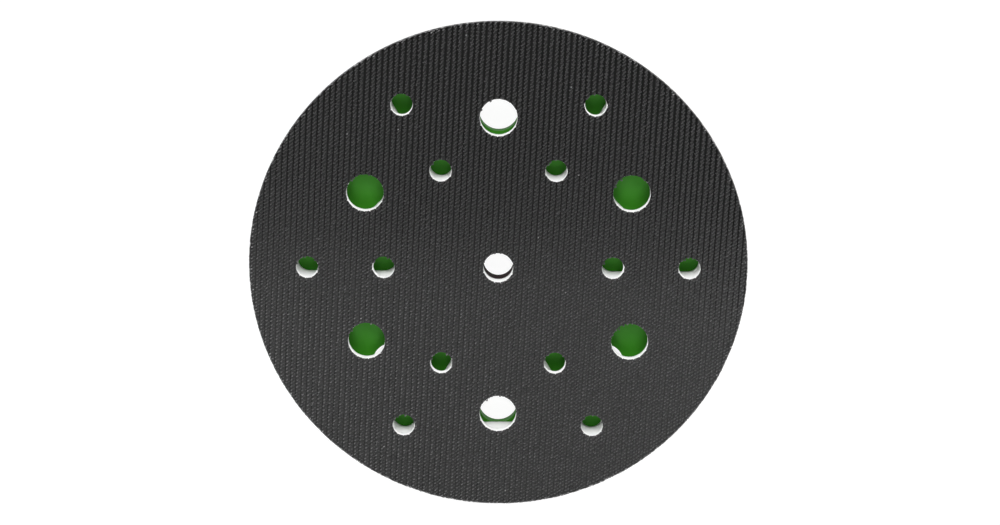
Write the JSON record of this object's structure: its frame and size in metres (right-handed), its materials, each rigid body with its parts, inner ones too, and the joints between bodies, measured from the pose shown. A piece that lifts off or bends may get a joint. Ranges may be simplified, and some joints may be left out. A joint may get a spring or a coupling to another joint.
{
  "type": "orbital sander backing pad",
  "caption": "Round backing pad of an orbital sander: hook facing over soft foam with dust channels, rigid ported plate and bored steel hub insert.",
  "frame": {"origin": "on the pad's axis, at the lowest plane of the backing plate's machine side, on which the pad lies", "axes": "+Z out of the hook face along the pad's axis; +Y through one of the large dust holes that has a port straight behind it; +X through a pair of small dust holes"},
  "size_m": [0.15, 0.15, 0.018],
  "materials": {
    "hook_fabric": "woven nylon hooks",
    "cushion_foam": "matt moulded polyurethane foam",
    "green_nylon": "moulded glass-filled nylon",
    "insert_steel": "black-oxide steel"
  },
  "bodies": {
    "root": {"hook_sheet": "hook_fabric", "foam_pad": "cushion_foam", "backing_plate": "green_nylon", "hub_insert": "insert_steel"}
  },
  "joints": []
}
